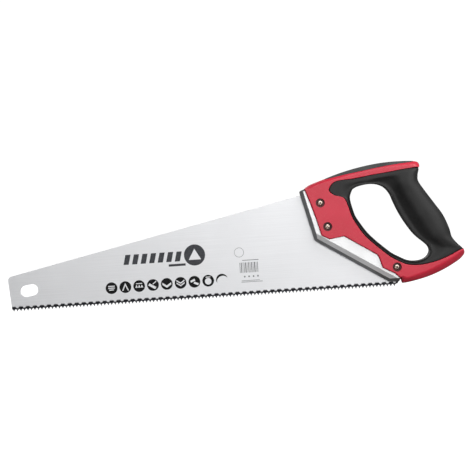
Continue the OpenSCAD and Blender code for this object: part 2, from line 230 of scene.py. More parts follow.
class Bench:
    """Models pieces with mesh operators; every piece ends at the origin, unturned and unscaled."""

    @staticmethod
    def clear() -> None:
        """Leave edit mode and deselect everything."""
        if bpy.context.object and bpy.context.object.mode != "OBJECT":
            bpy.ops.object.mode_set(mode="OBJECT")
        bpy.ops.object.select_all(action="DESELECT")

    @staticmethod
    def take(piece: bpy.types.Object) -> None:
        """Select only this piece and make it active."""
        Bench.clear()
        piece.select_set(True)
        bpy.context.view_layer.objects.active = piece

    @staticmethod
    def named(name: str) -> bpy.types.Object:
        """Name the object that was just added, set its mesh at the origin and return it."""
        piece = bpy.context.object
        piece.name = name
        piece.data.name = name
        bpy.ops.object.transform_apply(location=True, rotation=True, scale=True)
        return piece

    @staticmethod
    def tidy(piece: bpy.types.Object, gap: float = 1e-7) -> None:
        """Merge doubles and turn all faces outwards."""
        Bench.take(piece)
        bpy.ops.object.mode_set(mode="EDIT")
        bpy.ops.mesh.select_all(action="SELECT")
        bpy.ops.mesh.remove_doubles(threshold=gap)
        bpy.ops.mesh.normals_make_consistent(inside=False)
        if bmesh.from_edit_mesh(piece.data).calc_volume(signed=True) < 0:
            bpy.ops.mesh.flip_normals()
        bpy.ops.object.mode_set(mode="OBJECT")

    @staticmethod
    def loop_loft(name: str, rings: list[Ring]) -> bpy.types.Object:
        """Shape a torus into a closed loop through rings of points."""
        Bench.clear()
        bpy.ops.mesh.primitive_torus_add(
            major_segments=len(rings), minor_segments=len(rings[0]), major_radius=1
        )
        piece = Bench.named(name)
        places = [value for ring in rings for point in ring for value in point]
        piece.data.vertices.foreach_set("co", places)
        piece.data.update()
        Bench.tidy(piece)
        return piece

    @staticmethod
    def bar_loft(name: str, rings: list[Ring]) -> bpy.types.Object:
        """Extrude a filled outline from ring to ring, which gives a bar with flat ends."""
        Bench.clear()
        bpy.ops.mesh.primitive_circle_add(vertices=len(rings[0]), fill_type="NGON")
        piece = Bench.named(name)
        piece.data.vertices.foreach_set("co", [value for point in rings[0] for value in point])
        piece.data.update()
        bpy.ops.object.mode_set(mode="EDIT")
        bpy.ops.mesh.select_all(action="SELECT")
        for before, ring in zip(rings, rings[1:]):
            step = Vector(ring[0]) - Vector(before[0])
            bpy.ops.mesh.extrude_region_move(TRANSFORM_OT_translate={"value": step})
            shape = bmesh.from_edit_mesh(piece.data)
            moved = {
                tuple(round(c, 7) for c in Vector(p) + step): q for p, q in zip(before, ring)
            }
            for vertex in [v for v in shape.verts if v.select]:
                vertex.co = moved[Bench.nearest(moved, vertex.co)]
            bmesh.update_edit_mesh(piece.data)
        bpy.ops.object.mode_set(mode="OBJECT")
        Bench.tidy(piece)
        return piece

    @staticmethod
    def nearest(places: dict[Place, Place], spot: Vector) -> Place:
        """Return the key of places that is closest to spot."""
        key = tuple(round(c, 7) for c in spot)
        if key in places:
            return key
        return min(places, key=lambda place: (Vector(place) - spot).length_squared)

    @staticmethod
    def plate(name: str, outline: list[Point], low: float, high: float) -> bpy.types.Object:
        """Extrude a flat outline in X and Z from one height across the blade to another."""
        rings = [[(x, y, z) for x, z in outline] for y in (low, high)]
        return Bench.bar_loft(name, rings)

    @staticmethod
    def disc(
        name: str, centre: Point, radius: float, low: float, high: float, sides: int = 48
    ) -> bpy.types.Object:
        """Add a round bar across the blade."""
        Bench.clear()
        bpy.ops.mesh.primitive_cylinder_add(
            vertices=sides,
            radius=radius,
            depth=high - low,
            location=(centre[0], (low + high) / 2, centre[1]),
            rotation=(math.pi / 2, 0, 0),
        )
        return Bench.named(name)

    @staticmethod
    def carve(piece: bpy.types.Object, cutter: bpy.types.Object, how: str = "DIFFERENCE") -> None:
        """Cut another solid out of a piece, or add it, and remove that solid."""
        Bench.take(piece)
        cut = piece.modifiers.new("cut", "BOOLEAN")
        cut.operation = how
        cut.solver = "EXACT"
        cut.object = cutter
        bpy.ops.object.modifier_apply(modifier=cut.name)
        bpy.data.objects.remove(cutter)

    @staticmethod
    def soften(piece: bpy.types.Object, width: float, rounds: int, angle: float = 30) -> None:
        """Round every edge sharper than an angle in degrees."""
        Bench.take(piece)
        edge = piece.modifiers.new("edges", "BEVEL")
        edge.width = width
        edge.segments = rounds
        edge.limit_method = "ANGLE"
        edge.angle_limit = math.radians(angle)
        edge.harden_normals = False
        bpy.ops.object.modifier_apply(modifier=edge.name)

    @staticmethod
    def smooth(piece: bpy.types.Object, angle: float = 35) -> None:
        """Shade smooth up to an angle in degrees, and keep broad faces flat."""
        Bench.take(piece)
        bpy.ops.object.shade_smooth_by_angle(angle=math.radians(angle))
        flat = piece.modifiers.new("flat", "WEIGHTED_NORMAL")
        flat.keep_sharp = True
        flat.weight = 80
        bpy.ops.object.modifier_apply(modifier=flat.name)

    @staticmethod
    def join(name: str, pieces: list[bpy.types.Object]) -> bpy.types.Object:
        """Join pieces into the first one."""
        Bench.take(pieces[0])
        for piece in pieces:
            piece.select_set(True)
        bpy.ops.object.join()
        pieces[0].name = name
        return pieces[0]

    @staticmethod
    def dress(piece: bpy.types.Object, finish: bpy.types.Material) -> None:
        """Give a piece one finish all over."""
        piece.data.materials.clear()
        piece.data.materials.append(finish)

    @staticmethod
    def hand_over(piece: bpy.types.Object, slot: str, *nodes: str) -> None:
        """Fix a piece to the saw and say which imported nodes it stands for."""
        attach(piece, "root")
        if nodes:
            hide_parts(*nodes)
        LOG.info("%s: %d faces for %s", piece.name, len(piece.data.polygons), nodes or "detail")


# ---------------------------------------------------------------------------------------------
# Finishes
# ---------------------------------------------------------------------------------------------


class NodeBook:
    """A material's node tree, with short methods for the nodes that the finishes use."""

    CONSTANTS = {"metallic": "Metallic", "ior": "IOR"}

    def __init__(self, name: str) -> None:
        """Start a material with a Principled shader.

        Args:
            name: The material's name.
        """
        self.material = bpy.data.materials.new(name)
        self.material.use_nodes = True
        self.tree = self.material.node_tree
        self.shader = self.tree.nodes["Principled BSDF"]
        self.place = self.tree.nodes.new("ShaderNodeTexCoord").outputs["Object"]

    def set(self, **values: float) -> None:
        """Set constant sockets of the shader."""
        for name, value in values.items():
            self.shader.inputs[self.CONSTANTS[name]].default_value = value

    def stretched(self, scale: Place) -> Socket:
        """Return object coordinates scaled along each axis."""
        node = self.tree.nodes.new("ShaderNodeMapping")
        node.inputs["Scale"].default_value = scale
        self.tree.links.new(self.place, node.inputs["Vector"])
        return node.outputs["Vector"]

    def noise(self, place: Socket, scale: float, detail: float = 4.0) -> Socket:
        """Return the value of a noise texture."""
        node = self.tree.nodes.new("ShaderNodeTexNoise")
        node.inputs["Scale"].default_value = scale
        node.inputs["Detail"].default_value = detail
        self.tree.links.new(place, node.inputs["Vector"])
        return node.outputs["Fac"]

    def cells(self, place: Socket, scale: float) -> Socket:
        """Return the distance value of a cell texture."""
        node = self.tree.nodes.new("ShaderNodeTexVoronoi")
        node.inputs["Scale"].default_value = scale
        self.tree.links.new(place, node.inputs["Vector"])
        return node.outputs["Distance"]

    def span(
        self, value: Socket, low: float, high: float, to_low: float, to_high: float
    ) -> Socket:
        """Map a value from one span to another, held at its ends.

        Args:
            value: The value to map.
            low: Start of its span.
            high: End of its span.
            to_low: What the start becomes.
            to_high: What the end becomes.

        Returns:
            The mapped value.
        """
        node = self.tree.nodes.new("ShaderNodeMapRange")
        names = ("From Min", "From Max", "To Min", "To Max")
        for name, number in zip(names, (low, high, to_low, to_high)):
            node.inputs[name].default_value = number
        self.tree.links.new(value, node.inputs["Value"])
        return node.outputs["Result"]

    def combine(self, a: Socket | float, b: Socket | float, how: str = "ADD") -> Socket:
        """Combine two values with a maths node; how is the node's operation."""
        node = self.tree.nodes.new("ShaderNodeMath")
        node.operation = how
        for socket, value in zip(node.inputs, (a, b)):
            if isinstance(value, (int, float)):
                socket.default_value = value
            else:
                self.tree.links.new(value, socket)
        return node.outputs[0]

    def colours(self, value: Socket, low: Socket | Colour, high: Socket | Colour) -> Socket:
        """Return a colour between two, chosen by a value from 0 to 1."""
        node = self.tree.nodes.new("ShaderNodeMix")
        node.data_type = "RGBA"
        self.tree.links.new(value, node.inputs["Factor"])
        rgba = [s for s in node.inputs if s.type == "RGBA"]
        for socket, colour in zip(rgba, (low, high)):
            if isinstance(colour, tuple):
                socket.default_value = (*colour, 1.0)
            else:
                self.tree.links.new(colour, socket)
        return next(s for s in node.outputs if s.type == "RGBA")

    def axis(self, name: str) -> Socket:
        """Return one axis of the object coordinates."""
        node = self.tree.nodes.new("ShaderNodeSeparateXYZ")
        self.tree.links.new(self.place, node.inputs[0])
        return node.outputs[name]

    def bump(self, height: Socket, depth: float, strength: float) -> None:
        """Drive the shader's normal from a height, in metres of depth."""
        node = self.tree.nodes.new("ShaderNodeBump")
        node.inputs["Strength"].default_value = strength
        node.inputs["Distance"].default_value = depth
        self.tree.links.new(height, node.inputs["Height"])
        self.tree.links.new(node.outputs["Normal"], self.shader.inputs["Normal"])

    def link(self, value: Socket, socket: str) -> None:
        """Join a value to one of the shader's sockets."""
        self.tree.links.new(value, self.shader.inputs[socket])


@dataclass(frozen=True)
class BrushedSteel:
    """Cold-rolled blade steel, brushed along the blade and blackened where the teeth are hardened.

    The black reaches higher over every second tooth, from first_dark on. All lengths are in metres.
    """

    light: Colour = (0.835, 0.84, 0.855)
    dark: Colour = (0.755, 0.76, 0.775)
    black: Colour = (0.02, 0.021, 0.024)
    first_dark: float = 0.0
    pitch: float = 3.64 * MM
    heat_low: float = 3.7 * MM
    heat_high: float = 5.2 * MM
    fade: float = 0.5 * MM

    def make(self) -> bpy.types.Material:
        """Return the material."""
        book = NodeBook("brushed_steel")
        book.set(metallic=1.0)
        streaks = book.noise(book.stretched((12, 12, 2600)), 1.0, 3.0)
        fine = book.noise(book.stretched((60, 60, 9000)), 1.0, 2.0)
        cloud = book.noise(book.place, 14.0, 3.0)
        tone = book.combine(book.combine(streaks, 0.65, "MULTIPLY"), book.combine(cloud, 0.35, "MULTIPLY"))
        steel = book.colours(book.span(tone, 0.35, 0.65, 0, 1), self.dark, self.light)
        run = book.combine(book.combine(book.axis("X"), -self.first_dark), self.pitch, "PINGPONG")
        top = book.span(run, self.pitch * 0.45, self.pitch * 0.8, self.heat_high, self.heat_low)
        over = book.combine(book.axis("Z"), top, "SUBTRACT")
        heat = book.span(over, -self.fade, self.fade, 1.0, 0.0)
        book.link(book.colours(heat, steel, self.black), "Base Color")
        book.link(book.span(streaks, 0.3, 0.7, 0.46, 0.56), "Roughness")
        book.bump(book.combine(streaks, fine), 0.00001, 0.5)
        return book.material


@dataclass(frozen=True)
class HardenedTooth:
    """Tooth steel blackened by induction hardening."""

    black: Colour = (0.022, 0.023, 0.027)
    blue: Colour = (0.055, 0.06, 0.075)

    def make(self) -> bpy.types.Material:
        """Return the material."""
        book = NodeBook("hardened_tooth")
        book.set(metallic=0.85)
        patch = book.noise(book.place, 420.0, 3.0)
        book.link(book.colours(book.span(patch, 0.35, 0.7, 0, 1), self.black, self.blue), "Base Color")
        book.link(book.span(patch, 0.3, 0.7, 0.35, 0.55), "Roughness")
        book.bump(book.noise(book.stretched((300, 300, 5000)), 1.0), 0.00001, 0.4)
        return book.material


@dataclass(frozen=True)
class GroundFacet:
    """Bare ground steel on the facets of the teeth."""

    tint: Colour = (0.42, 0.43, 0.45)

    def make(self) -> bpy.types.Material:
        """Return the material."""
        book = NodeBook("ground_facet")
        book.set(metallic=1.0)
        lines = book.noise(book.stretched((5000, 400, 400)), 1.0)
        book.link(book.colours(lines, tuple(c * 0.6 for c in self.tint), self.tint), "Base Color")
        book.link(book.span(lines, 0.3, 0.7, 0.3, 0.45), "Roughness")
        book.bump(lines, 0.00001, 0.5)
        return book.material


@dataclass(frozen=True)
class CastMetal:
    """Satin die-cast light metal with a faint grain."""

    name: str = "cast_metal"
    light: Colour = (0.84, 0.845, 0.85)
    dark: Colour = (0.79, 0.795, 0.80)

    def make(self) -> bpy.types.Material:
        """Return the material."""
        book = NodeBook(self.name)
        book.set(metallic=0.9)
        cloud = book.noise(book.place, 60.0, 4.0)
        grain = book.noise(book.place, 2600.0, 2.0)
        book.link(book.colours(book.span(cloud, 0.35, 0.65, 0, 1), self.dark, self.light), "Base Color")
        book.link(book.span(grain, 0.3, 0.7, 0.40, 0.48), "Roughness")
        book.bump(grain, 0.00001, 0.3)
        return book.material


@dataclass(frozen=True)
class MouldedPlastic:
    """Hard red plastic with a fine moulded texture, scuffed a little along its edges."""

    name: str = "red_plastic"
    red: Colour = (0.69, 0.022, 0.056)
    deep: Colour = (0.61, 0.017, 0.044)
    scuff: Colour = (0.72, 0.14, 0.16)

    def make(self) -> bpy.types.Material:
        """Return the material."""
        book = NodeBook(self.name)
        book.set(ior=1.5)
        cloud = book.noise(book.place, 45.0, 3.0)
        grain = book.noise(book.place, 3200.0, 2.0)
        body = book.colours(book.span(cloud, 0.3, 0.7, 0, 1), self.deep, self.red)
        wear = book.tree.nodes.new("ShaderNodeAttribute")
        wear.attribute_name = "wear"
        spots = book.span(book.noise(book.place, 700.0, 4.0), 0.5, 0.72, 0, 1)
        worn = book.combine(wear.outputs["Fac"], spots, "MULTIPLY")
        book.link(book.colours(worn, body, self.scuff), "Base Color")
        book.link(book.span(book.combine(grain, worn), 0.3, 0.9, 0.30, 0.46), "Roughness")
        book.bump(grain, 0.00002, 0.3)
        return book.material


@dataclass(frozen=True)
class SoftRubber:
    """Black soft-touch rubber with a fine leathery grain."""

    name: str = "black_rubber"
    black: Colour = (0.013, 0.013, 0.013)
    grey: Colour = (0.026, 0.026, 0.026)

    def make(self) -> bpy.types.Material:
        """Return the material."""
        book = NodeBook(self.name)
        book.set(ior=1.45)
        cloud = book.noise(book.place, 70.0, 4.0)
        grain = book.cells(book.place, 1500.0)
        fine = book.noise(book.place, 4200.0, 2.0)
        book.link(book.colours(book.span(cloud, 0.3, 0.7, 0, 1), self.black, self.grey), "Base Color")
        book.link(book.span(cloud, 0.3, 0.7, 0.56, 0.68), "Roughness")
        book.bump(book.combine(grain, book.combine(fine, 0.5, "MULTIPLY")), 0.00004, 0.35)
        return book.material


@dataclass(frozen=True)
class PlatedMetal:
    """Pale warm plating of the screws and nuts, turned on a lathe."""

    name: str = "screw_metal"
    light: Colour = (0.90, 0.77, 0.68)
    dark: Colour = (0.62, 0.47, 0.38)

    def make(self) -> bpy.types.Material:
        """Return the material."""
        book = NodeBook(self.name)
        book.set(metallic=1.0)
        patch = book.noise(book.place, 900.0, 3.0)
        book.link(book.colours(book.span(patch, 0.3, 0.7, 0, 1), self.dark, self.light), "Base Color")
        book.link(book.span(patch, 0.3, 0.7, 0.22, 0.38), "Roughness")
        book.bump(book.noise(book.place, 5000.0), 0.00001, 0.3)
        return book.material


@dataclass(frozen=True)
class PrintInk:
    """Screen-printed ink, slightly uneven."""

    name: str
    tone: Colour

    def make(self) -> bpy.types.Material:
        """Return the material."""
        book = NodeBook(self.name)
        book.set(ior=1.25)
        patch = book.noise(book.place, 500.0, 4.0)
        lighter = tuple(min(1.0, c * 1.35 + 0.01) for c in self.tone)
        book.link(book.colours(book.span(patch, 0.35, 0.75, 0, 1), self.tone, lighter), "Base Color")
        book.link(book.span(patch, 0.3, 0.7, 0.5, 0.65), "Roughness")
        book.bump(patch, 0.000005, 0.3)
        return book.material


class Finishes:
    """All finishes of the saw, made once."""

    FIRST_DARK = 4.32 * MM

    def __init__(self) -> None:
        """Make every material."""
        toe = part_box("blade")[0][0]
        self.steel = BrushedSteel(first_dark=toe + self.FIRST_DARK).make()
        self.tooth = HardenedTooth().make()
        self.facet = GroundFacet().make()
        self.cast = CastMetal().make()
        # Darker copy of the cast metal: painted shade on the steep edge faces of the cheeks.
        self.cast_painted_shade = CastMetal("cast_painted_shade", (0.36, 0.365, 0.37), (0.29, 0.295, 0.30)).make()
        self.red = MouldedPlastic().make()
        # Dark copy of the red plastic: painted shade inside the counterbores.
        self.red_hole_shade = MouldedPlastic(
            "red_hole_shade", (0.20, 0.003, 0.006), (0.12, 0.002, 0.003)
        ).make()
        self.rubber = SoftRubber().make()
        # Lighter copy of the black rubber: painted light on the top strip, where it faces the light from
        # above.
        self.strip = SoftRubber(
            "strip_rubber", (0.050, 0.052, 0.052), (0.075, 0.077, 0.077)
        ).make()
        self.plating = PlatedMetal().make()
        # Dark copy of the plating: painted shade inside the cross recesses of screws and nuts.
        self.recess = PlatedMetal("recess_painted_shade", (0.34, 0.26, 0.20), (0.2, 0.15, 0.12)).make()
        self.black_ink = PrintInk("black_ink", (0.002, 0.002, 0.0025)).make()
        self.grey_ink = PrintInk("grey_ink", (0.05, 0.052, 0.058)).make()
        self.pale_ink = PrintInk("pale_ink", (0.16, 0.165, 0.17)).make()


# ---------------------------------------------------------------------------------------------
# Handle plan: the outlines that shells, skins, strips and bolsters share
# ---------------------------------------------------------------------------------------------


@dataclass
class HandlePlan:
    """Outlines of the handle, in millimetres from the heel of the tooth line.

    Stations run down the front of the hand opening, along its foot, up the palm and back along
    the top. At each one the skin goes from the opening to the border, and the shell from the
    border to the rim. The palm swell is given as a share of its full height at each station.
    """

    horn_reach: float = 73.0
    cheek: float = 10.5
    skin: float = 2.0
    lower_bevel: float = 6.0
    upper_bevel: float = 4.8
    straight_rim_end: int = 13
    lower_horn: int = 19
    upper_horn: int = 28
    steps: int = 7
    horn_step: float = 0.02
    swell_first: int = 15
    swell: tuple[float, ...] = (
        0, 0.07, 0.14, 0.21, 0.28, 0.55, 0.85, 1, 1, 1, 1, 1, 0.85, 0.63, 0.41, 0.19
    )
    opening: list[Point] = field(
        default_factory=lambda: [
            (-39.5, 102.5), (-42, 96.5), (-42, 91.5), (-40.6, 85), (-38, 76), (-33.5, 68),
            (-27, 58.3), (-19.5, 50), (-11, 42), (-3, 35.2), (4, 31), (11, 27.3), (16, 25.8),
            (19.5, 25.4), (23.5, 25.4), (28.5, 26.3), (32.5, 28.2), (35.2, 31), (36.7, 35),
            (35.5, 39.5), (31.5, 43.8), (26, 48.6), (20.5, 54.5), (13.5, 65), (7.5, 76),
            (2.8, 87), (-0.8, 96.5), (-5.5, 102.8), (-11, 106.2), (-17, 107.7), (-23, 107.8),
            (-29, 107), (-34, 105.8), (-37.3, 104.3),
        ]
    )
    border: list[Point] = field(
        default_factory=lambda: [
            (-63.7, 104.7), (-59, 98.8), (-49, 95), (-45, 86), (-42, 75.5), (-37.2, 66),
            (-30.5, 55.6), (-22.6, 47), (-13.8, 38.8), (-5.6, 31.7), (1.5, 27), (9.3, 23),
            (15, 21.3), (19.5, 20.8), (26, 20.6), (35.5, 21.8), (46, 24.3), (57, 28.4),
            (66.5, 33), (70.9, 35.1), (66, 40.5), (61.2, 47.5), (59, 57), (53.5, 71),
            (45.5, 83.5), (36.5, 97), (30.3, 107.5), (30, 114), (30.8, 121.4), (20, 121.4),
            (0, 119), (-18, 117), (-37, 114.5), (-56.5, 112.6),
        ]
    )
    rim: list[Point] = field(
        default_factory=lambda: [
            (-89, 107), (-83.5, 90.8), (-78.5, 74.4), (-74.3, 57.7), (-66.2, 53.4),
            (-51.1, 55.5), (-42.8, 50.1), (-34.5, 44.8), (-17.9, 34), (-16.2, 30.5),
            (-13.2, 20.3), (-0.9, 13.6), (4.8, 8), (6.2, 3), (20, 4.6), (35, 8.2), (49, 13.4),
            (61, 19.5), (70, 25.5), (72.97, 31.6), (66, 40.5), (61.2, 47.5), (59, 57), (53.5, 71),
            (45.5, 83.5), (36.5, 97), (30.3, 107.5), (30, 116), (32, 123.6), (27.3, 128.3),
            (4, 129.4), (-18, 127.8), (-42, 123.4), (-65, 116.8),
        ]
    )
    screws: dict[str, Point] = field(
        default_factory=lambda: {
            "front_top": (-73.5, 91.5), "front_low": (-67.5, 66.5), "heel": (1.5, 20),
        }
    )

    def __post_init__(self) -> None:
        """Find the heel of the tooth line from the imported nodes."""
        self.heel_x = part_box("handle_shell_left")[1][0] - self.horn_reach * MM
        self.tooth_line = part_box("blade")[0][2]
        before = [0.0] * self.swell_first
        after = [0.0] * (len(self.opening) - self.swell_first - len(self.swell))
        self.swell_pairs = [(share, 0.0) for share in (*before, *self.swell, *after)]

    def place(self, point: Point, height: float) -> Place:
        """Return a point of the plan in the saw's frame, in metres.

        Args:
            point: The point, in millimetres from the heel.
            height: Distance across the blade, in millimetres, with the side's sign.
        """
        return self.heel_x + point[0] * MM, height * MM, self.tooth_line + point[1] * MM

    def flat(self, points: list[Point]) -> list[Point]:
        """Return points of the plan as X and Z in metres."""
        return [(self.heel_x + x * MM, self.tooth_line + z * MM) for x, z in points]

    def rim_at(self, station: float) -> Point:
        """Return the outer rim's point at a station."""
        if station < self.straight_rim_end:
            return straight_point(self.rim, station)
        return smooth_point(self.rim, station)

    def swell_at(self, station: float) -> float:
        """Return the smooth share of the palm swell at a station."""
        return min(1.0, max(0.0, smooth_point(self.swell_pairs, station)[0]))

    def wraps(self, station: float) -> bool:
        """Say whether the skin wraps round to the parting plane at a station."""
        return self.lower_horn < station < self.upper_horn

    def stations(self) -> list[float]:
        """Return every station of the loop, with a close pair at each horn."""
        places = []
        for i in range(len(self.opening) * self.steps):
            station = i / self.steps
            if station == self.upper_horn:
                places.append(station - self.horn_step)
            places.append(station)
            if station == self.lower_horn:
                places.append(station + self.horn_step)
        return places


# Outer face of the skin as (from the opening's edge, share of the width, height), in millimetres
RING_FACE = (
    (0, 0, 0), (0, 0, 6.5), (0.2, 0, 9.6), (0.6, 0, 10.6), (1.2, 0, 10.7), (1.7, 0, 9.9),
    (2.0, 0.1, 9.5), (1.4, 0.3, 10.1), (0.7, 0.5, 10.4), (0, 0.7, 10.4), (-0.6, 0.85, 10.4),
    (-1.1, 1, 10.3), (-0.4, 1, 9.5), (0, 1, 8.9),
)
PALM_FACE = (
    (0, 0, 0), (0, 0, 4.5), (0.3, 0, 7.2), (0.8, 0, 8.0), (1.5, 0, 8.0), (2.2, 0, 6.6),
    (0, 0.15, 6.0), (0, 0.26, 8.6), (0, 0.40, 13.4), (0, 0.56, 15.1), (0, 0.72, 15.3),
    (0, 0.87, 13.2), (0, 0.97, 7.5), (0, 1, 0),
)


class SkinSections:
    """Sections of the soft skin and of its seat on the shell."""

    SCOOP = 6
    EDGE_SHARE = 0.6

    def __init__(self, plan: HandlePlan) -> None:
        """Keep the plan.

        Args:
            plan: The handle's outlines.
        """
        self.plan = plan
        self.seat_height = plan.cheek - plan.skin

    def width(self, station: float) -> float:
        """Return the section's length, from the opening to the border."""
        return distance(
            smooth_point(self.plan.opening, station), smooth_point(self.plan.border, station)
        )

    def face(self, station: float) -> list[Point]:
        """Return the outer face as (distance, height)."""
        width, swell = self.width(station), self.plan.swell_at(station)
        edge = 0.0 if self.plan.wraps(station) else RING_FACE[-1][2]
        points = []
        for ring, palm in zip(RING_FACE, PALM_FACE):
            a = (ring[0] + ring[1] * width, ring[2])
            b = (palm[0] + palm[1] * width, palm[2])
            points.append(mix_points(a, b, swell))
        points[-1] = (width, edge)
        return points

    def seat(self, station: float) -> list[Point]:
        """Return the seat under the skin as (distance, height)."""
        face, swell = self.face(station), self.plan.swell_at(station)
        width, skin = face[-1][0], self.plan.skin
        room = (width - 2 * skin) / width
        points = []
        for k, (across, height) in enumerate(face[:-1]):
            if k == 0:
                under = 0.0
            elif k == 1 or (k == len(face) - 2 and self.plan.wraps(station)):
                under = height - skin * self.EDGE_SHARE
            else:
                lowest = min(high for _, high in face[k : max(k + 1, self.SCOOP + 1)])
                under = lerp(self.seat_height, lowest - skin, swell)
            points.append((skin + across * room, under))
        return points

    def ring(self, station: float, side: Side, points: list[Point]) -> Ring:
        """Stand section points up at a station, measured from the opening to the border."""
        start = smooth_point(self.plan.opening, station)
        end = smooth_point(self.plan.border, station)
        return [
            self.plan.place(towards(start, end, across), height * side.value)
            for across, height in points
        ]


@dataclass
class SoftSkin:
    """Moulded-on soft rubber: palm swell, rim round the hand opening and thumb rest."""

    plan: HandlePlan
    side: Side
    fineness: int = 4
    parting_step: float = 0.05
    parting_lift: float = 0.08

    def build(self, finishes: Finishes) -> bpy.types.Object:
        """Model and dress the skin, and hand it over."""
        sections = SkinSections(self.plan)
        rings = []
        for station in self.plan.stations():
            outer = smooth_run(sections.face(station), self.fineness)
            seat = sections.seat(station)
            width, inner = outer[-1][0], outer[-1][0] - self.plan.skin
            if self.plan.wraps(station):
                low = [(width - self.parting_step, 0.0), (inner, self.parting_lift)]
            else:
                low = [(width, sections.seat_height), (inner, sections.seat_height)]
            rings.append(sections.ring(station, self.side, [*outer, *low, *reversed(seat)]))
        piece = Bench.loop_loft(f"skin_{self.side.label}", rings)
        Bench.smooth(piece, 50)
        Bench.dress(piece, finishes.rubber)
        Bench.hand_over(piece, "black_rubber", f"grip_{self.side.label}")
        return piece


@dataclass
class TopStrip:
    """Soft strip let into the top edge of a shell; it fades out towards both ends."""

    plan: HandlePlan
    side: Side
    thickness: float = 1.8
    first: float = 29.1
    last: float = 33.1
    stations: int = 48
    crown: float = 0.2
    end_share: float = 0.12
    middle_share: float = 0.8

    def share(self, station: float) -> float:
        """Return how much of the bevel the strip covers at a station."""
        along = (station - self.first) / (self.last - self.first)
        arch = math.sqrt(max(0.0, math.sin(math.pi * along)))
        return self.end_share + self.middle_share * arch

    def ring(self, station: float, proud: float) -> Ring:
        """Return the strip's section.

        Args:
            station: Place along the top edge.
            proud: How far the outer corners stand out, which makes the cutter for the seat.
        """
        plan = self.plan
        border, rim = smooth_point(plan.border, station), plan.rim_at(station)
        length, share = distance(border, rim), self.share(station)
        depth, across = self.thickness * share, plan.upper_bevel * share
        edge = plan.cheek - plan.upper_bevel
        if proud:
            outer = [
                (length - across + proud, edge + across + proud),
                (length + proud, edge + proud),
                (length + proud, -proud),
            ]
            inner_end = -proud
        else:
            lift = self.crown * share
            corners = [
                (length - across, edge + across, 0),
                (length - across + lift * 0.2, edge + across + lift, 0.4 * share),
                (length + lift * 0.4, edge + lift * 0.6, 2.6 * share),
                (length, 0, 0),
            ]
            outer = rounded(corners, 6)
            inner_end = 0.0
        inner = [
            (length - depth, inner_end),
            (length - depth, edge - depth * 0.4),
            (length - across - depth * 0.7, edge + across - depth * 0.7),
        ]
        return [
            plan.place(towards(border, rim, distance_out), height * self.side.value)
            for distance_out, height in [*outer, *inner]
        ]

    def solid(self, name: str, proud: float) -> bpy.types.Object:
        """Model the strip, or with proud corners the cutter for its seat."""
        places = [lerp(self.first, self.last, i / self.stations) for i in range(self.stations + 1)]
        return Bench.bar_loft(name, [self.ring(place, proud) for place in places])

    def build(self, finishes: Finishes) -> bpy.types.Object:
        """Model and dress the strip, and hand it over."""
        piece = self.solid(f"strip_{self.side.label}", 0.0)
        Bench.smooth(piece, 40)
        # The strip gets the lighter rubber, which is painted light on the top edge.
        Bench.dress(piece, finishes.strip)
        Bench.hand_over(piece, "black_rubber", f"top_pad_{self.side.label}")
        return piece


